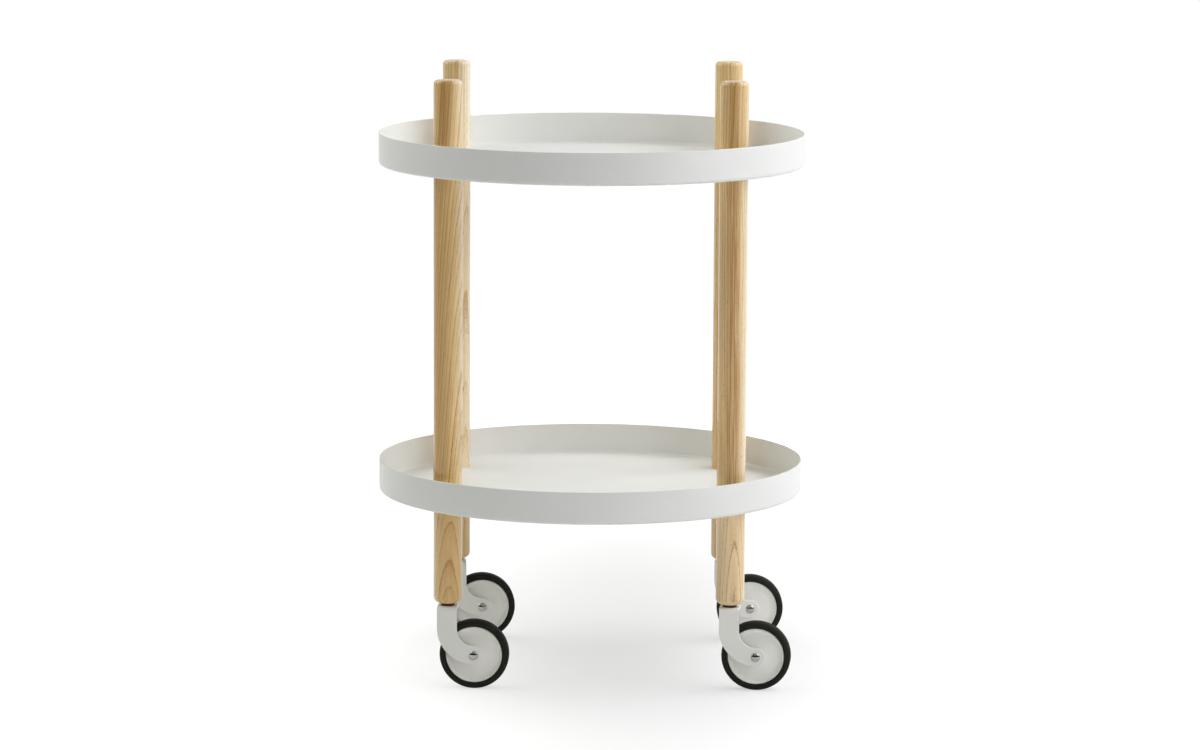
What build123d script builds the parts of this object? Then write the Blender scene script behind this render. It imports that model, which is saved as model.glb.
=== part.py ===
from build123d import *

import os
from dataclasses import dataclass
from math import cos, radians, sin

# Round two-tier side table: pressed steel trays clamped between turned ash leg segments, on four casters.
# Sizes are in millimetres. The origin is on the floor below the tray centres.
# +X is to the right seen from the front, +Y to the rear, +Z up.

# Trays
tray_diameter = 450.0
tray_rim_height = 34.0
tray_sheet = 1.5
tray_corner_radius = 4.0
tray_edge_round = 0.6

# Legs: three segments each, on a circle inside the rims
leg_diameter = 30.0
leg_rim_gap = 14.0  # from a leg to the inside of the rim
leg_angle = 40.8  # degrees, from the X axis to the legs
foot_peg_length = 100.0
post_length = 346.0
top_peg_length = 97.5
top_peg_round = 4.5
foot_peg_round = 7.0
seat_chamfer = 0.4

# Studs and threaded inserts that pull two segments together on a tray
stud_diameter = 8.0
stud_reach = 22.0
stud_chamfer = 1.0
insert_wall = 2.0
insert_length = 20.0
bore_end_room = 4.0
tray_hole_clearance = 0.5

# Caster stems: shoulder screws held by an insert in each foot
stem_shoulder_diameter = 8.0
stem_thread_diameter = 6.0
stem_thread_length = 17.0
stem_head_diameter = 13.0
stem_head_height = 4.0
stem_socket_across_flats = 4.0
stem_socket_depth = 2.2
stem_insert_wall = 2.5
stem_insert_length = 18.0

# Swivel bushes: flanged sleeves pressed into the fork tops
bush_wall = 1.0
bush_flange_diameter = 14.7
bush_flange_height = 2.6
bush_stand_out = 0.3

# Forks: a strip bent over the wheel, whose arms trail back to the axle
caster_trail = 28.0
arm_width = 21.0
arm_thickness = 2.5
arm_eye_radius = 9.7
fork_bend_radius = 4.0
fork_edge_round = 0.7
leg_height_over_wheel = 17.5

# Wheels
wheel_diameter = 72.5
tyre_width = 17.0
tyre_depth = 6.7
tyre_shoulder_radius = 4.5
tyre_overhang = 1.0
tyre_inner_chamfer = 0.6
key_width = 6.0
key_depth = 1.8
lip_width = 1.8
dish_run = 6.0
web_thickness_at_dish = 9.4
web_thickness_at_hub = 13.6
hub_diameter = 17.0
hub_draft = 0.6
hub_stand_out = 1.2

# Axles: a sleeve between the arms, held by a domed screw at each end
axle_diameter = 8.0
axle_screw_diameter = 5.0
axle_screw_reach = 8.0
axle_head_diameter = 9.6
axle_head_height = 2.7
axle_head_land = 0.4

# Clearances
fixed_gap = 0.05  # radial, round a piece fixed in a hole
running_gap = 0.05  # radial, round a piece that turns
end_play = 0.1  # along a swivel or an axle
screw_hole_gap = 0.1  # radial, round a screw in a fork arm

# Heights above the floor, built up from the wheels
wheel_radius = wheel_diameter / 2
foot_z = wheel_diameter + leg_height_over_wheel
lower_tray_z = foot_z + foot_peg_length
post_z = lower_tray_z + tray_sheet
upper_tray_z = post_z + post_length
top_peg_z = upper_tray_z + tray_sheet
fork_top_z = foot_z - end_play - bush_flange_height
fork_ceiling_z = fork_top_z - arm_thickness
bush_end_z = fork_ceiling_z - bush_stand_out
stem_head_z = bush_end_z - end_play

# Radii and widths that follow from the fits
leg_radius = leg_diameter / 2
leg_circle_radius = tray_diameter / 2 - tray_sheet - leg_rim_gap - leg_radius
leg_spacing_x = 2 * leg_circle_radius * cos(radians(leg_angle))
leg_spacing_y = 2 * leg_circle_radius * sin(radians(leg_angle))
stud_radius = stud_diameter / 2
insert_bore_radius = stud_radius + fixed_gap
insert_radius = stud_radius + insert_wall
tray_hole_radius = stud_radius + tray_hole_clearance
stem_radius = stem_shoulder_diameter / 2
stem_thread_radius = stem_thread_diameter / 2
stem_insert_radius = stem_thread_radius + stem_insert_wall
bush_bore_radius = stem_radius + running_gap
bush_radius = bush_bore_radius + bush_wall
hub_width = tyre_width + 2 * hub_stand_out
fork_gap = hub_width + 2 * end_play
fork_width = fork_gap + 2 * arm_thickness
axle_radius = axle_diameter / 2
axle_screw_radius = axle_screw_diameter / 2
rim_radius = wheel_radius - tyre_depth

# Stepped bores in the leg ends: the wide step holds an insert, the rest clears the end of its screw
stud_bore = {
    "radius": stud_radius + fixed_gap,
    "counter_bore_radius": insert_radius + fixed_gap,
    "counter_bore_depth": insert_length,
    "depth": stud_reach + bore_end_room,
}
stem_bore = {
    "radius": stem_thread_radius + fixed_gap,
    "counter_bore_radius": stem_insert_radius + fixed_gap,
    "counter_bore_depth": stem_insert_length,
    "depth": stem_thread_length + bore_end_room,
}

os.makedirs("parts", exist_ok=True)


@dataclass(frozen=True)
class Corner:
    """One leg and its caster: the leg's place, and the caster's turn about it in degrees."""

    name: str
    x: float
    y: float
    turn: float

    def level(self, z):
        """Horizontal plane on the leg's axis at height z."""
        return Plane(origin=(self.x, self.y, z))

    def facing_down(self, z):
        """The same plane, facing the floor."""
        return Plane(origin=(self.x, self.y, z), z_dir=(0, 0, -1))

    @property
    def trail_direction(self):
        """Way from the swivel to the axle."""
        return Vector(cos(radians(self.turn)), sin(radians(self.turn)), 0)

    @property
    def axle_direction(self):
        """Way along the axle, to the table's front."""
        return Vector(sin(radians(self.turn)), -cos(radians(self.turn)), 0)

    @property
    def swivel(self):
        """Axis about which the fork turns."""
        return Axis((self.x, self.y, 0), (0, 0, 1))

    @property
    def axle(self):
        """Axis about which the wheel rolls."""
        hub = Vector(self.x, self.y, wheel_radius) + self.trail_direction * caster_trail
        return Axis(hub, self.axle_direction)

    @property
    def stem_section(self):
        """Upright plane through the swivel: X across it, Y height above the floor."""
        return Plane(origin=(self.x, self.y, 0), x_dir=(1, 0, 0), z_dir=(0, -1, 0))

    @property
    def side(self):
        """Upright plane through the swivel and the trail: X along the trail, Y height above the floor."""
        return Plane(origin=(self.x, self.y, 0), x_dir=self.trail_direction, z_dir=self.axle_direction)

    @property
    def section(self):
        """Upright plane through the axle: X along it, Y the radius from it."""
        return Plane(origin=self.axle.position, x_dir=self.axle_direction, z_dir=-self.trail_direction)


# The casters trail to the right, each turned a little by the last push
caster_turns = {"front_left": -3, "front_right": -5, "rear_left": 5, "rear_right": 1}
corners = [
    Corner(
        name,
        leg_spacing_x / 2 * (-1 if name.endswith("left") else 1),
        leg_spacing_y / 2 * (-1 if name.startswith("front") else 1),
        turn,
    )
    for name, turn in caster_turns.items()
]


def save(piece, name):
    """Label a finished piece and write it under its own name."""
    piece.part.label = name
    export_step(piece.part, f"parts/{name}.step")


def make_tray(name, underside_z):
    """Round dish with a rolled corner, a straight rim and a stud hole at each leg."""
    with BuildPart() as tray:
        with BuildSketch(Plane.XY.offset(underside_z)):
            Circle(tray_diameter / 2)
        extrude(amount=tray_rim_height)
        fillet(tray.edges().group_by(Axis.Z)[0], tray_corner_radius)
        offset(amount=-tray_sheet, openings=tray.faces().sort_by(Axis.Z)[-1])
        fillet(tray.edges().group_by(Axis.Z)[-1], tray_edge_round)
        with BuildSketch(Plane.XY.offset(underside_z)):
            with GridLocations(leg_spacing_x, leg_spacing_y, 2, 2):
                Circle(tray_hole_radius)
        extrude(amount=tray_sheet, mode=Mode.SUBTRACT)
    save(tray, name)


def make_top_peg(corner):
    """Leg segment above the upper tray, with a rounded top."""
    with BuildPart() as peg:
        with BuildSketch(corner.level(top_peg_z)):
            Circle(leg_radius)
        extrude(amount=top_peg_length)
        fillet(peg.edges().group_by(Axis.Z)[-1], top_peg_round)
        chamfer(peg.edges().group_by(Axis.Z)[0], seat_chamfer)
        with Locations(corner.facing_down(top_peg_z)):
            CounterBoreHole(**stud_bore)
    save(peg, f"top_peg_{corner.name}")


def make_post(corner):
    """Leg segment between the two trays."""
    with BuildPart() as post:
        with BuildSketch(corner.level(post_z)):
            Circle(leg_radius)
        extrude(amount=post_length)
        chamfer(post.edges().filter_by(GeomType.CIRCLE), seat_chamfer)
        with Locations(corner.facing_down(post_z), corner.level(upper_tray_z)):
            CounterBoreHole(**stud_bore)
    save(post, f"post_{corner.name}")


def make_foot_peg(corner):
    """Leg segment below the lower tray, with a rounded foot that holds the caster's stem."""
    with BuildPart() as peg:
        with BuildSketch(corner.level(foot_z)):
            Circle(leg_radius)
        extrude(amount=foot_peg_length)
        fillet(peg.edges().group_by(Axis.Z)[0], foot_peg_round)
        chamfer(peg.edges().group_by(Axis.Z)[-1], seat_chamfer)
        with Locations(corner.level(lower_tray_z)):
            CounterBoreHole(**stud_bore)
        with Locations(corner.facing_down(foot_z)):
            CounterBoreHole(**stem_bore)
    save(peg, f"foot_peg_{corner.name}")


def make_studs(name, tray_z):
    """Four studs through one tray, one at each leg."""
    with BuildPart() as studs:
        with BuildSketch(Plane.XY.offset(tray_z - stud_reach)):
            with GridLocations(leg_spacing_x, leg_spacing_y, 2, 2):
                Circle(stud_radius)
        extrude(amount=tray_sheet + 2 * stud_reach)
        chamfer(studs.edges().filter_by(GeomType.CIRCLE), stud_chamfer)
    save(studs, name)


def make_inserts(name, z, outer_radius, bore_radius, length):
    """Four threaded inserts, one in each leg, whose lower ends lie at height z."""
    with BuildPart() as inserts:
        with BuildSketch(Plane.XY.offset(z)):
            with GridLocations(leg_spacing_x, leg_spacing_y, 2, 2):
                Circle(outer_radius)
                Circle(bore_radius, mode=Mode.SUBTRACT)
        extrude(amount=length)
    save(inserts, name)


def make_stem(corner):
    """Shoulder screw: the thread goes up into the foot, the shoulder carries the fork above the head."""
    with BuildPart() as stem:
        with BuildSketch(corner.stem_section):
            with BuildLine():
                Polyline(
                    (0, stem_head_z - stem_head_height),
                    (stem_head_diameter / 2, stem_head_z - stem_head_height),
                    (stem_head_diameter / 2, stem_head_z),
                    (stem_radius, stem_head_z),
                    (stem_radius, foot_z),
                    (stem_thread_radius, foot_z),
                    (stem_thread_radius, foot_z + stem_thread_length),
                    (0, foot_z + stem_thread_length),
                    close=True,
                )
            make_face()
        revolve(axis=corner.swivel)
        with BuildSketch(corner.level(stem_head_z - stem_head_height)):
            RegularPolygon(stem_socket_across_flats / 2, 6, major_radius=False)
        extrude(amount=stem_socket_depth, mode=Mode.SUBTRACT)
    save(stem, f"stem_{corner.name}")


def make_swivel_bush(corner):
    """Flanged sleeve in the fork's top. The flange carries the foot, the sleeve turns on the stem."""
    with BuildPart() as bush:
        with BuildSketch(corner.stem_section):
            with BuildLine():
                Polyline(
                    (bush_bore_radius, bush_end_z),
                    (bush_radius, bush_end_z),
                    (bush_radius, fork_top_z),
                    (bush_flange_diameter / 2, fork_top_z),
                    (bush_flange_diameter / 2, fork_top_z + bush_flange_height),
                    (bush_bore_radius, fork_top_z + bush_flange_height),
                    close=True,
                )
            make_face()
        revolve(axis=corner.swivel)
    save(bush, f"swivel_bush_{corner.name}")


def make_fork(corner):
    """Strip bent over the wheel. Each arm drops from the swivel, sweeps back and ends in a round eye."""
    along_trail = Axis((0, 0, 0), corner.trail_direction)
    along_axle = Axis((0, 0, 0), corner.axle_direction)
    half_width = arm_width / 2
    bend_start_z = wheel_radius - arm_eye_radius + caster_trail + half_width
    with BuildPart() as fork:
        with BuildSketch(corner.side):
            with BuildLine():
                leading = Line((-half_width, fork_top_z), (-half_width, bend_start_z))
                outer_sweep = JernArc(leading @ 1, leading % 1, caster_trail + half_width, 90)
                eye = JernArc(outer_sweep @ 1, outer_sweep % 1, arm_eye_radius, 180)
                inner_sweep = JernArc(eye @ 1, eye % 1, caster_trail - half_width, -90)
                trailing = Line(inner_sweep @ 1, (half_width, fork_top_z))
                Line(trailing @ 1, leading @ 0)
            make_face()
        extrude(amount=fork_width / 2, both=True)
        fillet(fork.edges().filter_by(along_trail).group_by(Axis.Z)[-1], fork_bend_radius)
        outline = fork.edges().filter_by(along_trail, reverse=True).filter_by(along_axle, reverse=True)
        top_edges = fork.edges().filter_by(along_axle).group_by(Axis.Z)[-1]
        fillet(outline + top_edges, fork_edge_round)
        with BuildSketch(corner.section) as slot:
            with Locations((0, fork_ceiling_z - wheel_radius)):
                Rectangle(fork_gap, fork_ceiling_z, align=(Align.CENTER, Align.MAX))
            fillet(slot.vertices().group_by(Axis.Y)[-1], fork_bend_radius - arm_thickness)
        extrude(amount=2 * caster_trail + arm_width, both=True, mode=Mode.SUBTRACT)
        with BuildSketch(corner.level(fork_top_z)):
            Circle(bush_radius + fixed_gap)
        extrude(amount=-arm_thickness, mode=Mode.SUBTRACT)
        with BuildSketch(corner.side):
            with Locations((caster_trail, wheel_radius)):
                Circle(axle_screw_radius + screw_hole_gap)
        extrude(amount=fork_width / 2, both=True, mode=Mode.SUBTRACT)
    save(fork, f"fork_{corner.name}")


def make_axle_sleeve(corner):
    """Spacer between the arms, on which the wheel turns."""
    with BuildPart() as sleeve:
        with BuildSketch(corner.side):
            with Locations((caster_trail, wheel_radius)):
                Circle(axle_radius)
                Circle(axle_screw_radius + fixed_gap, mode=Mode.SUBTRACT)
        extrude(amount=fork_gap / 2, both=True)
    save(sleeve, f"axle_sleeve_{corner.name}")


def make_axle_screws(corner):
    """Domed screws, one from each side, that clamp the arms to the sleeve."""
    seat = fork_width / 2
    head_radius = axle_head_diameter / 2
    dome_height = axle_head_height - axle_head_land
    dome_radius = (head_radius**2 + dome_height**2) / (2 * dome_height)
    with BuildPart() as screws:
        with BuildSketch(corner.section):
            with BuildLine():
                tip = Line((seat - axle_screw_reach, 0), (seat - axle_screw_reach, axle_screw_radius))
                shank = Line(tip @ 1, (seat, axle_screw_radius))
                under = Line(shank @ 1, (seat, head_radius))
                land = Line(under @ 1, (seat + axle_head_land, head_radius))
                dome = RadiusArc(land @ 1, (seat + axle_head_height, 0), dome_radius)
                Line(dome @ 1, tip @ 0)
            make_face()
            mirror(about=Plane.YZ)
        revolve(axis=corner.axle)
    save(screws, f"axle_screws_{corner.name}")


def make_wheel(corner):
    """Disc with a coned web, a dished edge under a bead lip, and a groove that keys the tyre."""
    bore_radius = axle_radius + running_gap
    hub_half = hub_width / 2
    hub_radius = hub_diameter / 2
    bead_radius = lip_width / 2
    lip_half = tyre_width / 2 - tyre_overhang
    lip_radius = rim_radius - lip_width
    with BuildPart() as wheel:
        with BuildSketch(corner.section):
            with BuildLine():
                bore = Line((0, bore_radius), (hub_half, bore_radius))
                hub_face = Line(bore @ 1, (hub_half, hub_radius))
                hub_side = Line(hub_face @ 1, (web_thickness_at_hub / 2, hub_radius + hub_draft))
                web = Line(hub_side @ 1, (web_thickness_at_dish / 2, lip_radius - dish_run))
                dish = TangentArc(web @ 1, (lip_half - bead_radius, lip_radius), tangent=web % 1)
                bead_top = (lip_half, rim_radius - bead_radius)
                bead = ThreePointArc(dish @ 1, bead_top, (lip_half - bead_radius, rim_radius))
                rim = Line(bead @ 1, (key_width / 2, rim_radius))
                groove_side = Line(rim @ 1, (key_width / 2, rim_radius - key_depth))
                Line(groove_side @ 1, (0, rim_radius - key_depth))
                mirror(about=Plane.YZ)
            make_face()
        revolve(axis=corner.axle)
    save(wheel, f"wheel_{corner.name}")


def make_tyre(corner):
    """Ring with rounded shoulders and an inner rib that sits in the rim's groove."""
    tyre_half = tyre_width / 2
    seat_radius = rim_radius + fixed_gap
    key_half = key_width / 2 - fixed_gap
    key_radius = seat_radius - key_depth
    with BuildPart() as tyre:
        with BuildSketch(corner.section):
            with BuildLine():
                key = Line((0, key_radius), (key_half, key_radius))
                key_side = Line(key @ 1, (key_half, seat_radius))
                seat = Line(key_side @ 1, (tyre_half - tyre_inner_chamfer, seat_radius))
                bevel = Line(seat @ 1, (tyre_half, seat_radius + tyre_inner_chamfer))
                side = Line(bevel @ 1, (tyre_half, wheel_radius - tyre_shoulder_radius))
                shoulder = JernArc(side @ 1, side % 1, tyre_shoulder_radius, 90)
                Line(shoulder @ 1, (0, wheel_radius))
                mirror(about=Plane.YZ)
            make_face()
        revolve(axis=corner.axle)
    save(tyre, f"tyre_{corner.name}")


make_tray("lower_tray", lower_tray_z)
make_tray("upper_tray", upper_tray_z)
make_studs("lower_tray_studs", lower_tray_z)
make_studs("upper_tray_studs", upper_tray_z)
stud_inserts = {
    "foot_peg_inserts": lower_tray_z - insert_length,
    "post_lower_inserts": post_z,
    "post_upper_inserts": upper_tray_z - insert_length,
    "top_peg_inserts": top_peg_z,
}
for insert_name, insert_z in stud_inserts.items():
    make_inserts(insert_name, insert_z, insert_radius, insert_bore_radius, insert_length)
stem_bore_radius = stem_thread_radius + fixed_gap
make_inserts("stem_inserts", foot_z, stem_insert_radius, stem_bore_radius, stem_insert_length)
for leg in corners:
    make_top_peg(leg)
    make_post(leg)
    make_foot_peg(leg)
    make_stem(leg)
    make_swivel_bush(leg)
    make_fork(leg)
    make_axle_sleeve(leg)
    make_axle_screws(leg)
    make_wheel(leg)
    make_tyre(leg)
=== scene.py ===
"""Looks of the rolling side table: ash legs, coated trays and casters, in a pale studio."""

import logging
import math
from collections.abc import Mapping
from dataclasses import dataclass, field
from enum import Enum

import bpy
import numpy as np
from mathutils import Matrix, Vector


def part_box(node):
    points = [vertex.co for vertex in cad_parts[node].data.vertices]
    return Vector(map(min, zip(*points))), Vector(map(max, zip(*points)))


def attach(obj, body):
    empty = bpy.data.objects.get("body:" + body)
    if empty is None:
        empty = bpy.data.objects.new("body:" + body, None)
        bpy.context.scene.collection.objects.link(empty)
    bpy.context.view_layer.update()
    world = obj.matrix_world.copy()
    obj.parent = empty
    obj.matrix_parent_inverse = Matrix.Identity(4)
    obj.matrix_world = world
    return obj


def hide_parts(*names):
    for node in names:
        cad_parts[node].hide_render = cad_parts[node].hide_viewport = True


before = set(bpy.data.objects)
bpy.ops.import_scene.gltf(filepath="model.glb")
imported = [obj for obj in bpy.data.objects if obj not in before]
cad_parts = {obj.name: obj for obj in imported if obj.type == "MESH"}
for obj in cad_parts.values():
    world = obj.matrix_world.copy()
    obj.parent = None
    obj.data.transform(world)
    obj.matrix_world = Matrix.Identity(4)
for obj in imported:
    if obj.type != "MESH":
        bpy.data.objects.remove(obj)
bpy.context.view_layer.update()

Tree = bpy.types.NodeTree
Socket = bpy.types.NodeSocket

LOG = logging.getLogger("table")
MM = 0.001
GRAIN = "grain_mm"
TINT = "tone_heart_sap"
SHARP_DEGREES = 35
# What most of a noise lies between, and what nearly all of it does
NOISE_MIDDLE = (0.3, 0.7)
NOISE_MOST = (0.25, 0.75)
# Numbers of a mix node's sockets for colours, whose names aren't unique
MIX_A, MIX_B, MIX_RESULT = 6, 7, 2


def linear(hex_code: str) -> tuple[float, float, float, float]:
    """Turn an sRGB hex value to a linear colour.

    Args:
        hex_code: Six hex digits, such as "e8e6df".

    Returns:
        Red, green, blue and an alpha of 1, linear.
    """
    parts = np.array([int(hex_code[i : i + 2], 16) for i in (0, 2, 4)]) / 255
    bent = np.where(parts <= 0.04045, parts / 12.92, ((parts + 0.055) / 1.055) ** 2.4)
    return (*(float(part) for part in bent), 1.0)


def add(
    tree: Tree,
    kind: str,
    inputs: Mapping[str | int, object] | None = None,
    **settings: object,
) -> bpy.types.Node:
    """Add a node with its settings, values and links.

    Args:
        tree: Node tree that gets the node.
        kind: Blender's name for the kind of node.
        inputs: Value or source socket for each input, by name or number.
        settings: The node's own properties.

    Returns:
        The new node.
    """
    node = tree.nodes.new(kind)
    for name, setting in settings.items():
        setattr(node, name, setting)
    for name, value in (inputs or {}).items():
        if isinstance(value, Socket):
            tree.links.new(value, node.inputs[name])
        else:
            node.inputs[name].default_value = value
    return node


def set_stops(ramp: bpy.types.Node, stops: list[tuple[float, str]]) -> None:
    """Give a colour ramp its stops.

    Args:
        ramp: Colour ramp node.
        stops: Place from 0 to 1 and sRGB hex colour of each stop, in order.
    """
    elements = ramp.color_ramp.elements
    for element, (place, hex_code) in zip(elements, stops):
        element.position, element.color = place, linear(hex_code)
    for place, hex_code in stops[len(elements) :]:
        elements.new(place).color = linear(hex_code)


def empty_material(name: str) -> tuple[bpy.types.Material, Tree]:
    """Make a material with an empty node tree.

    Args:
        name: Name of the material.

    Returns:
        The material and its tree.
    """
    material = bpy.data.materials.new(name)
    material.use_nodes = True
    material.node_tree.nodes.clear()
    return material, material.node_tree


def new_object(name: str, data: bpy.types.ID) -> bpy.types.Object:
    """Make an object and link it to the scene.

    Args:
        name: Name of the object.
        data: Its mesh, lamp or camera.

    Returns:
        The new object.
    """
    piece = bpy.data.objects.new(name, data)
    bpy.context.scene.collection.objects.link(piece)
    return piece


def arc(
    centre: tuple[float, float], radius: float, start: float, end: float, steps: int
) -> np.ndarray:
    """Points on an arc of a section.

    Args:
        centre: Radius and height of the arc's centre.
        radius: Radius of the arc.
        start: First angle in degrees, from the outward direction up.
        end: Last angle in degrees.
        steps: Number of chords.

    Returns:
        Points of radius and height, with steps + 1 rows.
    """
    angle = np.radians(np.linspace(start, end, steps + 1))
    return np.array(centre) + radius * np.column_stack((np.cos(angle), np.sin(angle)))


def turned_surface(name: str, section: np.ndarray, sides: int) -> bpy.types.Object:
    """Turn a section about the vertical axis at the origin.

    A point is (r(u) cos v, r(u) sin v, h(u)), with u along the section and v round the axis. The
    section starts and ends on the axis, and each of these ends is one vertex.

    Args:
        name: Name of the piece.
        section: Radius and height of each point in metres, going outward along the underside.
        sides: Number of steps round the axis.

    Returns:
        The new object, linked to the scene.
    """
    angle = np.linspace(0, 2 * np.pi, sides, endpoint=False)
    radius, height = section[1:-1, :1], section[1:-1, 1:]
    grid = np.broadcast_arrays(radius * np.cos(angle), radius * np.sin(angle), height)
    rings = np.stack(grid, axis=-1)
    ends = np.array([[0, 0, section[0, 1]], [0, 0, section[-1, 1]]])
    points = np.concatenate((rings.reshape(-1, 3), ends))
    number = np.arange(rings.shape[0] * sides).reshape(-1, sides)
    following = np.roll(number, -1, axis=1)
    quads = np.stack((number[:-1], following[:-1], following[1:], number[1:]), axis=-1)
    bottom, top = len(points) - 2, len(points) - 1
    first = np.column_stack((following[0], number[0], np.full(sides, bottom)))
    last = np.column_stack((number[-1], following[-1], np.full(sides, top)))
    mesh = bpy.data.meshes.new(name)
    faces = [*quads.reshape(-1, 4).tolist(), *first.tolist(), *last.tolist()]
    mesh.from_pydata(points, [], faces)
    mesh.shade_smooth()
    mesh.set_sharp_from_angle(angle=math.radians(SHARP_DEGREES))
    return new_object(name, mesh)


def vertex_places(mesh: bpy.types.Mesh) -> np.ndarray:
    """Read a mesh's vertices as an array with three columns."""
    flat = np.empty(len(mesh.vertices) * 3, np.float32)
    mesh.vertices.foreach_get("co", flat)
    return flat.reshape(-1, 3)


class Corner(Enum):
    """The four legs, seen from the front."""

    FRONT_LEFT = "front_left"
    FRONT_RIGHT = "front_right"
    REAR_LEFT = "rear_left"
    REAR_RIGHT = "rear_right"


class Segment(Enum):
    """The three turned pieces of a leg, from the top."""

    TOP_PEG = "top_peg"
    POST = "post"
    FOOT_PEG = "foot_peg"


@dataclass(frozen=True)
class Finish:
    """A plain surface: its colour drifts a little, and a fine relief breaks up its gloss."""

    name: str
    colour: str
    shade: str
    roughness: float
    relief_mm: float
    relief_height_mm: float
    specular: float
    relief_detail: float
    drift_mm: float
    drift_detail: float
    ior: float = 1.5

    def material(self) -> bpy.types.Material:
        """Make the material. Its colour drifts from shade to colour."""
        material, tree = empty_material(self.name)
        place = add(tree, "ShaderNodeTexCoord").outputs["Object"]
        drift = add(
            tree,
            "ShaderNodeTexNoise",
            {"Vector": place, "Scale": 1 / (self.drift_mm * MM), "Detail": self.drift_detail},
        )
        tint = add(tree, "ShaderNodeValToRGB", {"Fac": drift.outputs["Fac"]})
        set_stops(tint, list(zip(NOISE_MIDDLE, (self.shade, self.colour))))
        relief = add(
            tree,
            "ShaderNodeTexNoise",
            {"Vector": place, "Scale": 1 / (self.relief_mm * MM), "Detail": self.relief_detail},
        ).outputs["Fac"]
        bump = add(
            tree,
            "ShaderNodeBump",
            {"Height": relief, "Distance": self.relief_height_mm * MM, "Strength": 1.0},
        )
        shader = add(
            tree,
            "ShaderNodeBsdfPrincipled",
            {
                "Base Color": tint.outputs["Color"],
                "Roughness": self.roughness,
                "Specular IOR Level": self.specular,
                "IOR": self.ior,
                "Normal": bump.outputs["Normal"],
            },
        )
        add(tree, "ShaderNodeOutputMaterial", {"Surface": shader.outputs["BSDF"]})
        return material


@dataclass(frozen=True)
class PowderCoat(Finish):
    """Polyester powder baked on steel: satin, warm white, with a faint orange peel.

    The film's thickness shifts its white a little. Real peel is under 1 mm across; it is drawn
    wider so that it shows at all.
    """

    roughness: float = 0.42
    relief_mm: float = 2.4
    relief_height_mm: float = 0.012
    specular: float = 0.3
    relief_detail: float = 2.0
    drift_mm: float = 60.0
    drift_detail: float = 3.0


@dataclass(frozen=True)
class Moulded(Finish):
    """Moulded plastic or rubber: one colour with a fine matt grain from the tool's surface.

    The tool's grain is finer than a pixel; it is drawn coarser so that it shows close up.
    """

    specular: float = 0.5
    relief_detail: float = 3.0
    drift_mm: float = 14.0
    drift_detail: float = 2.0


@dataclass(frozen=True)
class Steel:
    """Bright steel, polished or plated: fine marks from turning or the bath vary its gloss.

    The marks are finer than a pixel; they are drawn coarser so that they show close up.
    """

    name: str
    colour: str
    roughness: float
    mark_mm: float
    mark_detail: float = 3.0
    spread: float = 0.3

    def material(self) -> bpy.types.Material:
        """Make the metal. Its roughness goes up and down by the share spread."""
        material, tree = empty_material(self.name)
        place = add(tree, "ShaderNodeTexCoord").outputs["Object"]
        marks = add(
            tree,
            "ShaderNodeTexNoise",
            {"Vector": place, "Scale": 1 / (self.mark_mm * MM), "Detail": self.mark_detail},
        )
        roughness = add(
            tree,
            "ShaderNodeMapRange",
            {
                "Value": marks.outputs["Fac"],
                "To Min": self.roughness * (1 - self.spread),
                "To Max": self.roughness * (1 + self.spread),
            },
        ).outputs[0]
        shader = add(
            tree,
            "ShaderNodeBsdfPrincipled",
            {"Base Color": linear(self.colour), "Metallic": 1.0, "Roughness": roughness},
        )
        add(tree, "ShaderNodeOutputMaterial", {"Surface": shader.outputs["BSDF"]})
        return material


@dataclass(frozen=True)
class Streaks:
    """Noise drawn out along the trunk.

    It is width_mm across the trunk, and squeeze is that size over the one along the trunk. What the
    noise gives between the two ends of used is spread over values.
    """

    width_mm: float
    squeeze: float
    used: tuple[float, float]
    values: tuple[float, float]
    detail: float = 2.0

    def draw(self, tree: Tree, log: Socket) -> tuple[Socket, Socket]:
        """Draw the streaks.

        Args:
            tree: The wood's tree.
            log: Place in the log, in millimetres.

        Returns:
            The noise itself, from 0 to 1, and its values.
        """
        place = add(
            tree,
            "ShaderNodeVectorMath",
            {0: log, 1: (1.0, 1.0, self.squeeze)},
            operation="MULTIPLY",
        ).outputs[0]
        noise = add(
            tree,
            "ShaderNodeTexNoise",
            {"Vector": place, "Scale": 1 / self.width_mm, "Detail": self.detail},
        ).outputs["Fac"]
        spread = add(
            tree,
            "ShaderNodeMapRange",
            {
                "Value": noise,
                "From Min": self.used[0],
                "From Max": self.used[1],
                "To Min": self.values[0],
                "To Max": self.values[1],
            },
        )
        return noise, spread.outputs[0]


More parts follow.
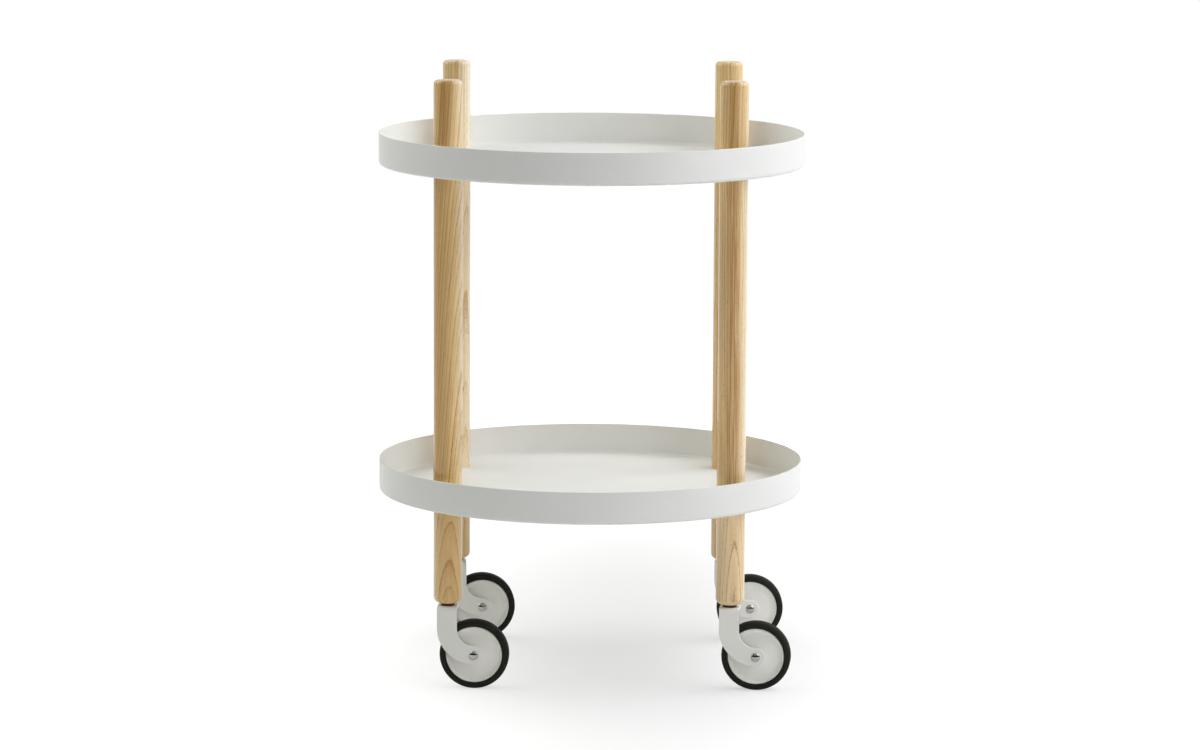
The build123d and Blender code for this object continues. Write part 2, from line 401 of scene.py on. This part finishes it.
@dataclass(frozen=True)
class LacqueredAsh:
    """European ash, turned, sanded and matt lacquered.

    Each year starts with a dark line of open pores and fades to dense pale wood. Cut along the
    rings this shows as nested arches with ragged tips, and cut across them as fine upright lines.
    Some pieces have a brown heart streak, and some pale sapwood on the side of the bark.
    """

    name: str = "ash_turned_matt_lacquer"
    early: str = "b67c30"
    middle: str = "deb16c"
    late: str = "ebc785"
    sap_early: str = "dcbe91"
    sap_late: str = "f5e7ca"
    pore: str = "985c14"
    heart: str = "c6a670"
    ring_mm: float = 2.5
    # How far a year's edge strays, in years, and how many swings of the weather a year has
    unevenness: float = 0.55
    weather_scale: float = 0.32
    weather_detail: float = 1.0
    # How strongly the weakest and the strongest year show
    growth: tuple[float, float] = (0.4, 1.0)
    # Both move a ring by so many millimetres
    wave: Streaks = Streaks(34.0, 0.22, NOISE_MOST, (-1.1, 1.1))
    ragged: Streaks = Streaks(1.1, 0.08, NOISE_MOST, (-0.2, 0.2))
    # Share of the heart's brown inside its streak, and how sharply the streak ends
    cloud: Streaks = Streaks(2.2, 0.03, (0.35, 0.65), (0.32, 0.8))
    heart_power: float = 4.0
    # Single fibres are finer than a pixel, so bundles of them are drawn
    fibre: Streaks = Streaks(1.2, 0.02, NOISE_MIDDLE, (0.94, 1.05))
    band: Streaks = Streaks(5.0, 0.03, NOISE_MIDDLE, (0.93, 1.06))
    # Pores are about 0.3 mm wide; they are drawn wider so that they show
    vessel: Streaks = Streaks(0.8, 0.28, (0.55, 0.64), (0.0, 1.0))
    # Parts of the year between which the pores thin out, and the share that is left then
    pore_fade: tuple[float, float] = (0.1, 0.45)
    late_pores: float = 0.1
    pore_share: float = 0.42
    pore_depth_mm: float = 0.05
    pore_relief: float = 0.6
    roughness: float = 0.35
    roughness_spread: float = 0.08
    specular: float = 0.2
    ior: float = 1.5
    lacquer: float = 0.6
    lacquer_roughness: float = 0.14

    def material(self) -> bpy.types.Material:
        """Make the wood from each piece's own place in the log, so that end and side grain meet."""
        material, tree = empty_material(self.name)
        log = add(tree, "ShaderNodeAttribute", attribute_name=GRAIN).outputs["Vector"]
        tint = add(tree, "ShaderNodeAttribute", attribute_name=TINT).outputs["Vector"]
        tone, from_heart, sap = add(tree, "ShaderNodeSeparateXYZ", {0: tint}).outputs
        phase = self._year_phase(tree, log)
        part = add(tree, "ShaderNodeMath", {0: phase}, operation="FRACT").outputs[0]
        year = add(tree, "ShaderNodeMath", {0: phase}, operation="FLOOR").outputs[0]
        rings = self._ring_colour(tree, part, year, sap)
        brown = self._heart_share(tree, log, from_heart, sap)
        hearted = add(
            tree,
            "ShaderNodeMix",
            {0: brown, MIX_A: rings, MIX_B: self._heart_colour(tree, rings)},
            data_type="RGBA",
        ).outputs[MIX_RESULT]
        fibre, fibre_shade = self.fibre.draw(tree, log)
        _, band_shade = self.band.draw(tree, log)
        banded = add(
            tree, "ShaderNodeMath", {0: fibre_shade, 1: band_shade}, operation="MULTIPLY"
        ).outputs[0]
        shade = add(tree, "ShaderNodeMath", {0: banded, 1: tone}, operation="MULTIPLY").outputs[0]
        toned = add(
            tree, "ShaderNodeVectorMath", {0: hearted, "Scale": shade}, operation="SCALE"
        ).outputs[0]
        pores = self._pores(tree, log, part)
        dark = add(tree, "ShaderNodeMath", {0: pores, 1: self.pore_share}, operation="MULTIPLY")
        colour = add(
            tree,
            "ShaderNodeMix",
            {0: dark.outputs[0], MIX_A: toned, MIX_B: linear(self.pore)},
            data_type="RGBA",
        ).outputs[MIX_RESULT]
        matt = add(
            tree,
            "ShaderNodeMapRange",
            {
                "Value": fibre,
                "To Min": self.roughness - self.roughness_spread,
                "To Max": self.roughness + self.roughness_spread,
            },
        ).outputs[0]
        bump = add(
            tree,
            "ShaderNodeBump",
            {"Height": pores, "Distance": self.pore_depth_mm * MM, "Strength": self.pore_relief},
            invert=True,
        )
        shader = add(
            tree,
            "ShaderNodeBsdfPrincipled",
            {
                "Base Color": colour,
                "Roughness": matt,
                "Specular IOR Level": self.specular,
                "IOR": self.ior,
                "Normal": bump.outputs["Normal"],
                "Coat Weight": self.lacquer,
                "Coat Roughness": self.lacquer_roughness,
            },
        )
        add(tree, "ShaderNodeOutputMaterial", {"Surface": shader.outputs["BSDF"]})
        return material

    def _year_phase(self, tree: Tree, log: Socket) -> Socket:
        """Years of growth at a place: its distance from the pith over a ring's width, made uneven.

        A broad wave bends the rings, a fine one makes their edges ragged, and a drift along the
        radius makes some years wide and others narrow.

        Args:
            tree: The wood's tree.
            log: Place in the log, in millimetres.

        Returns:
            The count of years, with its fraction.
        """
        across = add(
            tree, "ShaderNodeVectorMath", {0: log, 1: (1.0, 1.0, 0.0)}, operation="MULTIPLY"
        ).outputs[0]
        radius = add(tree, "ShaderNodeVectorMath", {0: across}, operation="LENGTH").outputs["Value"]
        for streaks in (self.wave, self.ragged):
            _, shift = streaks.draw(tree, log)
            radius = add(
                tree, "ShaderNodeMath", {0: radius, 1: shift}, operation="ADD"
            ).outputs[0]
        years = add(
            tree, "ShaderNodeMath", {0: radius, 1: 1 / self.ring_mm}, operation="MULTIPLY"
        ).outputs[0]
        weather = add(
            tree,
            "ShaderNodeTexNoise",
            {"W": years, "Scale": self.weather_scale, "Detail": self.weather_detail},
            noise_dimensions="1D",
        )
        drift = add(
            tree,
            "ShaderNodeMapRange",
            {
                "Value": weather.outputs["Fac"],
                "From Min": NOISE_MOST[0],
                "From Max": NOISE_MOST[1],
                "To Min": -self.unevenness,
                "To Max": self.unevenness,
            },
        ).outputs[0]
        return add(tree, "ShaderNodeMath", {0: years, 1: drift}, operation="ADD").outputs[0]

    def _ring_colour(self, tree: Tree, part: Socket, year: Socket, sap: Socket) -> Socket:
        """Colour of the rings, which show more in some years than in others.

        Args:
            tree: The wood's tree.
            part: Part of the year, from 0 to 1.
            year: Number of the year.
            sap: Share of sapwood.

        Returns:
            The colour.
        """
        ring = add(tree, "ShaderNodeValToRGB", {"Fac": part})
        set_stops(ring, self._year_stops(self.early, self.middle, self.late))
        sap_ring = add(tree, "ShaderNodeValToRGB", {"Fac": part})
        set_stops(sap_ring, self._year_stops(self.sap_early, self.sap_late, self.sap_late))
        years = add(
            tree,
            "ShaderNodeMix",
            {0: sap, MIX_A: ring.outputs["Color"], MIX_B: sap_ring.outputs["Color"]},
            data_type="RGBA",
        ).outputs[MIX_RESULT]
        dense = add(
            tree,
            "ShaderNodeMix",
            {0: sap, MIX_A: linear(self.late), MIX_B: linear(self.sap_late)},
            data_type="RGBA",
        ).outputs[MIX_RESULT]
        growth = add(tree, "ShaderNodeTexWhiteNoise", {"W": year}, noise_dimensions="1D")
        strength = add(
            tree,
            "ShaderNodeMapRange",
            {
                "Value": growth.outputs["Value"],
                "To Min": self.growth[0],
                "To Max": self.growth[1],
            },
        ).outputs[0]
        return add(
            tree,
            "ShaderNodeMix",
            {0: strength, MIX_A: dense, MIX_B: years},
            data_type="RGBA",
        ).outputs[MIX_RESULT]

    @staticmethod
    def _year_stops(early: str, middle: str, late: str) -> list[tuple[float, str]]:
        """Colours through one year, from its dark line of pores to its dense late wood."""
        return [
            (0.0, early),
            (0.06, early),
            (0.16, middle),
            (0.75, late),
            (0.96, late),
            (1.0, early),
        ]

    def _heart_share(self, tree: Tree, log: Socket, from_heart: Socket, sap: Socket) -> Socket:
        """Share of the heart's brown: in the streak, or else where the share of sapwood is below 0.

        Args:
            tree: The wood's tree.
            log: Place in the log, in millimetres.
            from_heart: Place across the streak.
            sap: Share of sapwood.

        Returns:
            The share, from 0 to 1.
        """
        outward = add(
            tree, "ShaderNodeMath", {0: from_heart, 1: self.heart_power}, operation="POWER"
        ).outputs[0]
        streak = add(
            tree,
            "ShaderNodeMapRange",
            {"Value": outward, "From Max": 1.0, "To Min": 1.0, "To Max": 0.0},
        ).outputs[0]
        _, cloudy = self.cloud.draw(tree, log)
        streaked = add(
            tree, "ShaderNodeMath", {0: streak, 1: cloudy}, operation="MULTIPLY"
        ).outputs[0]
        below_sap = add(tree, "ShaderNodeMath", {0: sap, 1: -1.0}, operation="MULTIPLY").outputs[0]
        return add(
            tree, "ShaderNodeMath", {0: streaked, 1: below_sap}, operation="MAXIMUM"
        ).outputs[0]

    def _heart_colour(self, tree: Tree, rings: Socket) -> Socket:
        """Colour of the rings in the brown heart.

        Args:
            tree: The wood's tree.
            rings: Colour of the rings.

        Returns:
            The browner colour.
        """
        return add(
            tree,
            "ShaderNodeMix",
            {0: 1.0, MIX_A: rings, MIX_B: linear(self.heart)},
            data_type="RGBA",
            blend_type="MULTIPLY",
        ).outputs[MIX_RESULT]

    def _pores(self, tree: Tree, log: Socket, part: Socket) -> Socket:
        """Open pores, which are crowded at the start of a year.

        Args:
            tree: The wood's tree.
            log: Place in the log, in millimetres.
            part: Part of the year, from 0 to 1.

        Returns:
            How open the wood is, from 0 to 1.
        """
        _, vessels = self.vessel.draw(tree, log)
        early_wood = add(
            tree,
            "ShaderNodeMapRange",
            {
                "Value": part,
                "From Min": self.pore_fade[1],
                "From Max": self.pore_fade[0],
                "To Min": self.late_pores,
                "To Max": 1.0,
            },
        ).outputs[0]
        return add(
            tree, "ShaderNodeMath", {0: vessels, 1: early_wood}, operation="MULTIPLY"
        ).outputs[0]


@dataclass(frozen=True)
class Blank:
    """Where a turned piece was sawn from its log.

    The pith lies at pith_angle degrees from the right, seen from above, pith_mm from the piece's
    middle. Going up, the piece leans toward it by lean degrees and across it by slant degrees. The
    share of sapwood goes from the first of sap on the pith's side to the second on the bark's side,
    and below 0 the wood takes the heart's brown instead. A heart streak follows the rings: it lies
    heart_mm toward the pith from the middle, heart_half_mm to each side.
    """

    pith_angle: float
    pith_mm: float
    lean: float
    slant: float
    tone: float = 1.0
    sap: tuple[float, float] = (0.0, 0.0)
    heart_mm: float = 1000.0
    heart_half_mm: float = 5.0

    def log_places(self, points_mm: np.ndarray, log_start_mm: float) -> np.ndarray:
        """Carry points of the piece into the log's own axes.

        The pith is the log's Z axis. A point goes to (a - D + z tan(lean), b - z tan(slant), z + h),
        with a toward the pith, b across it, D the pith's distance and h the height in the log.

        Args:
            points_mm: Points from the piece's middle.
            log_start_mm: Height of the piece in the log.

        Returns:
            Places in the log, in millimetres.
        """
        turn = math.radians(self.pith_angle)
        toward = points_mm[:, 0] * math.cos(turn) + points_mm[:, 1] * math.sin(turn)
        across = points_mm[:, 1] * math.cos(turn) - points_mm[:, 0] * math.sin(turn)
        height = points_mm[:, 2]
        depth = toward - self.pith_mm + height * math.tan(math.radians(self.lean))
        width = across - height * math.tan(math.radians(self.slant))
        return np.column_stack((depth, width, height + log_start_mm))

    def tints(self, points_mm: np.ndarray) -> np.ndarray:
        """Tone, place across the heart streak and share of sapwood at points of the piece.

        The place is 0 in the streak's middle and 1 or -1 at its edges. The sapwood's share changes
        with the cube of the way to the bark.

        Args:
            points_mm: Points from the piece's middle.

        Returns:
            Three columns, one for each.
        """
        toward = self.log_places(points_mm, 0.0)[:, 0] + self.pith_mm
        from_heart = (toward - self.heart_mm) / self.heart_half_mm
        level = toward - points_mm[:, 2] * math.tan(math.radians(self.lean))
        barkward = (level.max() - level) / (level.max() - level.min())
        sap = self.sap[0] + (self.sap[1] - self.sap[0]) * barkward**3
        return np.column_stack((np.full(len(points_mm), self.tone), from_heart, sap))


TOP_PEG_BLANKS = {
    Corner.FRONT_LEFT: Blank(178, 50, 3.0, 0.3, 1.0, (0.0, 0.65), 3.2, 7.0),
    Corner.FRONT_RIGHT: Blank(185, 48, 0.5, 0.5, 1.0, (0.1, 0.5), 2.1, 6.0),
    Corner.REAR_LEFT: Blank(178, 55, 0.5, 0.0, 1.02, (0.15, 1.6), -0.5, 2.2),
    Corner.REAR_RIGHT: Blank(175, 60, 0.5, 0.3, 1.03, (0.15, 0.3)),
}
POST_BLANKS = {
    Corner.FRONT_LEFT: Blank(165, 45, 4.5, 0.0, 1.02, (-0.35, 0.5)),
    Corner.FRONT_RIGHT: Blank(186, 45.4, -0.4, -0.6, 1.05, (0.15, 0.95), 0.8, 8.5),
    # The rear-left post's tone of 1.14 is painted light: it brightens the wood where strong light
    # falls on it
    Corner.REAR_LEFT: Blank(136, 48, 1.8, 0.2, 1.14, (0.2, 0.75)),
    Corner.REAR_RIGHT: Blank(200, 60, 0.2, 0.1, 1.03, (0.0, 0.5)),
}
FOOT_PEG_BLANKS = {
    Corner.FRONT_LEFT: Blank(99, 40, 5.1, 0.6, 1.03, (0.5, -0.18)),
    Corner.FRONT_RIGHT: Blank(283, 51.7, -2.3, 0.8, 1.04, (0.4, 0.4)),
    Corner.REAR_LEFT: Blank(30, 56, 0.6, 0.4, 1.0, (0.1, 0.2)),
    Corner.REAR_RIGHT: Blank(200, 50, 0.8, 0.6, 1.0, (0.1, 0.2)),
}
BLANKS = {
    Segment.TOP_PEG: TOP_PEG_BLANKS,
    Segment.POST: POST_BLANKS,
    Segment.FOOT_PEG: FOOT_PEG_BLANKS,
}


@dataclass
class Legs:
    """The twelve turned pieces of the four legs, each with its own grain.

    A bore is its radius and depth.
    """

    wood: LacqueredAsh = field(default_factory=LacqueredAsh)
    seat_chamfer_mm: float = 0.4
    top_round_mm: float = 4.5
    foot_round_mm: float = 7.0
    round_steps: int = 12
    stud_bore_mm: tuple[float, float] = (4.05, 26.0)
    insert_bore_mm: tuple[float, float] = (6.05, 20.0)
    stem_bore_mm: tuple[float, float] = (3.05, 21.0)
    stem_insert_bore_mm: tuple[float, float] = (5.55, 18.0)
    sides: int = 128
    log_step_mm: float = 700.0

    def build(self) -> None:
        """Turn each piece in its node's place, and finish it."""
        finish = self.wood.material()
        log_start_mm = 0.0
        for segment, blanks in BLANKS.items():
            for corner, blank in blanks.items():
                node = f"{segment.value}_{corner.value}"
                piece = self._turn(segment, node, blank, log_start_mm)
                piece.data.materials.append(finish)
                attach(piece, "table")
                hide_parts(node)
                LOG.info("leg piece %s", piece.name)
                log_start_mm += self.log_step_mm

    def _turn(
        self, segment: Segment, node: str, blank: Blank, log_start_mm: float
    ) -> bpy.types.Object:
        """Turn one piece where its node is, and mark its grain.

        Args:
            segment: Which piece of the leg.
            node: Name of its CAD node.
            blank: Where the piece was sawn.
            log_start_mm: Height of the piece in the log, which differs from piece to piece.

        Returns:
            The piece.
        """
        low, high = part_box(node)
        length_mm = (high.z - low.z) / MM
        radius_mm = (high.x - low.x) / 2 / MM
        section = self._section(segment, radius_mm, length_mm) * MM
        piece = turned_surface(f"ash_{node}", section, self.sides)
        points = vertex_places(piece.data)
        points_mm = points / MM - (0, 0, length_mm / 2)
        self._mark(piece.data, GRAIN, blank.log_places(points_mm, log_start_mm))
        self._mark(piece.data, TINT, blank.tints(points_mm))
        points += ((low.x + high.x) / 2, (low.y + high.y) / 2, low.z)
        piece.data.vertices.foreach_set("co", points.ravel())
        piece.data.update()
        return piece

    @staticmethod
    def _mark(mesh: bpy.types.Mesh, name: str, values: np.ndarray) -> None:
        """Store three values at each vertex.

        Args:
            mesh: The turned mesh.
            name: Name of the attribute.
            values: A row for each vertex.
        """
        layer = mesh.attributes.new(name, "FLOAT_VECTOR", "POINT")
        layer.data.foreach_set("vector", values.astype(np.float32).ravel())

    def _section(self, segment: Segment, radius_mm: float, length_mm: float) -> np.ndarray:
        """Half section of one piece, from the axis at its foot to the axis at its top.

        Args:
            segment: Which piece of the leg.
            radius_mm: Radius of the leg.
            length_mm: Length of the piece.

        Returns:
            Radius and height of each point, in millimetres, from the foot up.
        """
        chamfer = self.seat_chamfer_mm
        edge = np.array([[radius_mm - chamfer, 0], [radius_mm, chamfer]])
        seat = np.vstack((self._bore(self.stud_bore_mm, self.insert_bore_mm), edge))
        foot, top = seat, seat
        if segment is Segment.FOOT_PEG:
            bore = self._bore(self.stem_bore_mm, self.stem_insert_bore_mm)
            foot = np.vstack((bore, self._rounded(radius_mm, self.foot_round_mm)))
        if segment is Segment.TOP_PEG:
            top = np.vstack(((0, 0), self._rounded(radius_mm, self.top_round_mm)))
        return np.vstack((foot, (top * (1, -1) + (0, length_mm))[::-1]))

    def _rounded(self, radius_mm: float, round_mm: float) -> np.ndarray:
        """Half section of a rounded edge at the end of a leg.

        Args:
            radius_mm: Radius of the leg.
            round_mm: Radius of the edge.

        Returns:
            Radius and height of each point, from the end up.
        """
        return arc((radius_mm - round_mm, round_mm), round_mm, -90, 0, self.round_steps)

    @staticmethod
    def _bore(narrow: tuple[float, float], wide: tuple[float, float]) -> np.ndarray:
        """Half section of a stepped bore, from its closed end to its mouth.

        Args:
            narrow: Radius and depth of the inner step.
            wide: Radius and depth of the step at the mouth.

        Returns:
            Radius and depth of each point.
        """
        return np.array([(0, narrow[1]), narrow, (narrow[0], wide[1]), wide, (wide[0], 0)])


@dataclass
class CadPieces:
    """Pieces whose CAD shape is shown as it is, by finish."""

    tray_coat: PowderCoat = PowderCoat("steel_powder_coat_satin_white", "f3f4f1", "f0f1ee")
    fork_coat: PowderCoat = PowderCoat("steel_fork_powder_coat", "fbfbf5", "f8f8f2")
    wheel_nylon: Moulded = Moulded("nylon_moulded_white", "fcfcf5", "f9f9f2", 0.32, 0.8, 0.004)
    bush_nylon: Moulded = Moulded("nylon_moulded_black", "161616", "121212", 0.5, 0.6, 0.006)
    tyre_rubber: Moulded = Moulded(
        "rubber_moulded_black", "2a2a25", "252521", 0.72, 0.7, 0.012, specular=0.1
    )
    axle_steel: Steel = Steel("steel_polished", "a5a4a1", 0.14, 0.6)
    zinc_steel: Steel = Steel("steel_zinc_plated", "b8b9bb", 0.32, 1.5)

    def dress(self) -> None:
        """Give every CAD node that still shows its finish."""
        corners = [corner.value for corner in Corner]
        groups = {
            self.tray_coat: ["upper_tray", "lower_tray"],
            self.fork_coat: [f"fork_{corner}" for corner in corners],
            self.wheel_nylon: [f"wheel_{corner}" for corner in corners],
            self.bush_nylon: [f"swivel_bush_{corner}" for corner in corners],
            self.tyre_rubber: [f"tyre_{corner}" for corner in corners],
            self.axle_steel: [f"axle_screws_{corner}" for corner in corners],
            self.zinc_steel: [
                "upper_tray_studs",
                "lower_tray_studs",
                "foot_peg_inserts",
                "post_lower_inserts",
                "post_upper_inserts",
                "top_peg_inserts",
                "stem_inserts",
                *(f"stem_{corner}" for corner in corners),
                *(f"axle_sleeve_{corner}" for corner in corners),
            ],
        }
        for finish, nodes in groups.items():
            material = finish.material()
            for node in nodes:
                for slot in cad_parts[node].material_slots:
                    slot.material = material
                LOG.info("%s: %s", finish.name, node)


@dataclass(frozen=True)
class Softbox:
    """A square or oblong soft lamp, aimed at the table.

    Its azimuth goes from the front to the right. A lamp that isn't mirrored shows in no gloss.
    """

    name: str
    azimuth: float
    elevation: float
    distance: float
    size: tuple[float, float]
    watts: float
    colour: str = "ffffff"
    mirrored: bool = True

    def build(self, target: tuple[float, float, float]) -> None:
        """Hang the lamp at its angle and aim it.

        Args:
            target: Point that it is aimed at.
        """
        lamp = bpy.data.lights.new(self.name, "AREA")
        lamp.shape, lamp.size, lamp.size_y = "RECTANGLE", *self.size
        lamp.energy, lamp.color = self.watts, linear(self.colour)[:3]
        turn, rise = math.radians(self.azimuth), math.radians(self.elevation)
        flat = math.cos(rise)
        back = np.array((math.sin(turn) * flat, -math.cos(turn) * flat, math.sin(rise)))
        right = np.array((math.cos(turn), math.sin(turn), 0.0))
        axes = np.column_stack((right, np.cross(back, right), back))
        piece = new_object(self.name, lamp)
        piece.location = np.array(target) + back * self.distance
        piece.rotation_euler = Matrix(axes.tolist()).to_euler()
        piece.visible_glossy = self.mirrored


@dataclass
class Studio:
    """Camera, pale floor and soft light of the photograph."""

    camera_mm: tuple[float, float, float] = (29.2, -4910.9, 1039.0)
    yaw: float = -0.225
    pitch: float = -8.421
    roll: float = 0.305
    lens_mm: float = 139.97
    sensor_mm: float = 36.0
    clip_end: float = 100.0
    floor_half: float = 30.0
    floor_colour: str = "f4f4f4"
    seen_floor_colour: str = "aeaeae"
    # A painted shadow: the seen floor glows less in an oval with these halves, and has faded at so
    # many of them
    painted_shadow_centre: tuple[float, float] = (0.05, 0.11)
    painted_shadow_half: tuple[float, float] = (0.31, 1.0)
    painted_shadow_fade: float = 1.6
    painted_shadow_glow: float = 0.467
    screen_colour: str = "303030"
    screen_radius: float = 7.0
    screen_half_angle: float = 80.0
    screen_rise: tuple[float, float] = (2.0, 62.0)
    screen_grid: tuple[int, int] = (33, 13)
    background_colour: str = "ffffff"
    ambient: float = 0.04
    background_in_gloss: float = 0.8
    target: tuple[float, float, float] = (0.0, 0.0, 0.32)
    softboxes: tuple[Softbox, ...] = (
        Softbox("right_softbox", 84, 40, 2.6, (3.0, 2.2), 56, "fcfcff"),
        Softbox("left_softbox", -103, 42, 2.6, (3.2, 2.2), 39.5, "fffff8"),
        Softbox("rear_right_softbox", 138, 40, 2.6, (1.9, 1.9), 10),
        Softbox("front_high_softbox", 0, 42, 2.6, (2.4, 1.9), 5.5),
        Softbox("front_low_softbox", 36, 12, 2.6, (0.9, 0.9), 7.5, mirrored=False),
    )

    def build(self) -> None:
        """Set up the camera, floor, lamps and background."""
        self._camera()
        self._floor()
        self._dark_screen()
        self._world()
        for softbox in self.softboxes:
            softbox.build(self.target)
        bpy.context.scene.view_settings.view_transform = "Standard"

    def _camera(self) -> None:
        """Put the camera where the photograph was taken from."""
        yaw, pitch, roll = (math.radians(angle) for angle in (self.yaw, self.pitch, self.roll))
        flat = math.cos(pitch)
        ahead = np.array((math.sin(yaw) * flat, math.cos(yaw) * flat, math.sin(pitch)))
        level = np.array((math.cos(yaw), -math.sin(yaw), 0.0))
        above = np.cross(level, ahead)
        right = level * math.cos(roll) + above * math.sin(roll)
        up = above * math.cos(roll) - level * math.sin(roll)
        axes = np.column_stack((right, up, -ahead))
        data = bpy.data.cameras.new("photo_camera")
        data.lens, data.sensor_width, data.sensor_fit = self.lens_mm, self.sensor_mm, "HORIZONTAL"
        data.clip_end = self.clip_end
        camera = new_object("photo_camera", data)
        camera.location = np.array(self.camera_mm) * MM
        camera.rotation_euler = Matrix(axes.tolist()).to_euler()
        bpy.context.scene.camera = camera

    @staticmethod
    def _seen(tree: Tree) -> Socket:
        """Whether a ray comes from the eye, straight or by a mirror or glass.

        Args:
            tree: Tree that gets the nodes.

        Returns:
            1 for such a ray, or else 0.
        """
        path = add(tree, "ShaderNodeLightPath").outputs
        mirrored = add(
            tree,
            "ShaderNodeMath",
            {0: path["Is Glossy Ray"], 1: path["Is Transmission Ray"]},
            operation="MAXIMUM",
        ).outputs[0]
        return add(
            tree, "ShaderNodeMath", {0: path["Is Camera Ray"], 1: mirrored}, operation="MAXIMUM"
        ).outputs[0]

    def _floor(self) -> None:
        """Lay a pale floor that keeps the cast shadow, paints a shadow under the table, and goes to
        white away from it.
        """
        half = self.floor_half
        corners = [(-half, -half, 0), (half, -half, 0), (half, half, 0), (-half, half, 0)]
        mesh = bpy.data.meshes.new("floor")
        mesh.from_pydata(corners, [], [(0, 1, 2, 3)])
        floor = new_object("floor", mesh)
        material, tree = empty_material("studio_floor_paper")
        # The glow dims in an oval under the table: a painted shadow over the cast one
        white = add(tree, "ShaderNodeEmission", {"Strength": self._glow_with_painted_shadow(tree)})
        shaded = add(tree, "ShaderNodeBsdfDiffuse", {"Color": linear(self.seen_floor_colour)})
        shown = add(tree, "ShaderNodeAddShader", {0: shaded.outputs[0], 1: white.outputs[0]})
        paper = add(tree, "ShaderNodeBsdfDiffuse", {"Color": linear(self.floor_colour)})
        both = add(
            tree,
            "ShaderNodeMixShader",
            {0: self._seen(tree), 1: paper.outputs[0], 2: shown.outputs[0]},
        )
        add(tree, "ShaderNodeOutputMaterial", {"Surface": both.outputs[0]})
        mesh.materials.append(material)

    def _glow_with_painted_shadow(self, tree: Tree) -> Socket:
        """Glow of the seen floor, which is least in the middle of an oval under the table: a painted
        shadow.

        Args:
            tree: The floor's tree.

        Returns:
            The glow's strength.
        """
        place = add(tree, "ShaderNodeTexCoord").outputs["Object"]
        moved = add(
            tree,
            "ShaderNodeVectorMath",
            {0: place, 1: (*self.painted_shadow_centre, 0.0)},
            operation="SUBTRACT",
        ).outputs[0]
        spread = add(
            tree,
            "ShaderNodeVectorMath",
            {0: moved, 1: (1 / self.painted_shadow_half[0], 1 / self.painted_shadow_half[1], 0.0)},
            operation="MULTIPLY",
        ).outputs[0]
        reach = add(tree, "ShaderNodeVectorMath", {0: spread}, operation="LENGTH").outputs["Value"]
        return add(
            tree,
            "ShaderNodeMapRange",
            {
                "Value": reach,
                "From Max": self.painted_shadow_fade,
                "To Min": self.painted_shadow_glow,
                "To Max": 1.0,
            },
            interpolation_type="SMOOTHSTEP",
        ).outputs[0]

    def _dark_screen(self) -> None:
        """Hang a dark screen round the camera's side, which only polished surfaces show.

        A point of it is R (sin a cos e, -cos a cos e, sin e), with a going to the right and e up.
        """
        across, upward = self.screen_grid
        half = self.screen_half_angle
        side = np.radians(np.linspace(-half, half, across))
        rise = np.radians(np.linspace(*self.screen_rise, upward))[:, None]
        flat = np.cos(rise)
        grid = np.broadcast_arrays(np.sin(side) * flat, -np.cos(side) * flat, np.sin(rise))
        points = np.stack(grid, axis=-1).reshape(-1, 3) * self.screen_radius
        number = np.arange(len(points)).reshape(upward, across)
        lower, upper = number[:-1], number[1:]
        quads = np.stack((lower[:, 1:], lower[:, :-1], upper[:, :-1], upper[:, 1:]), axis=-1)
        mesh = bpy.data.meshes.new("dark_screen")
        mesh.from_pydata(points, [], quads.reshape(-1, 4).tolist())
        screen = new_object("dark_screen", mesh)
        screen.visible_camera = screen.visible_diffuse = screen.visible_shadow = False
        material, tree = empty_material("studio_screen_cloth")
        cloth = add(tree, "ShaderNodeBsdfDiffuse", {"Color": linear(self.screen_colour)})
        add(tree, "ShaderNodeOutputMaterial", {"Surface": cloth.outputs[0]})
        mesh.materials.append(material)

    def _world(self) -> None:
        """White to the eye, a little less in gloss, and a dim, even fill for everything else."""
        world = bpy.data.worlds.new("studio")
        world.use_nodes = True
        tree = world.node_tree
        tree.nodes.clear()
        eye = add(tree, "ShaderNodeLightPath").outputs["Is Camera Ray"]
        fill = add(
            tree,
            "ShaderNodeMapRange",
            {
                "Value": self._seen(tree),
                "To Min": self.ambient,
                "To Max": self.background_in_gloss,
            },
        ).outputs[0]
        strength = add(tree, "ShaderNodeMath", {0: eye, 1: fill}, operation="MAXIMUM").outputs[0]
        background = add(
            tree,
            "ShaderNodeBackground",
            {"Color": linear(self.background_colour), "Strength": strength},
        )
        add(tree, "ShaderNodeOutputWorld", {"Surface": background.outputs[0]})
        bpy.context.scene.world = world


def main() -> None:
    """Build the looks in order."""
    logging.basicConfig(level=logging.INFO, format="%(name)s: %(message)s")
    CadPieces().dress()
    Legs().build()
    Studio().build()


if __name__ == "__main__":
    main()
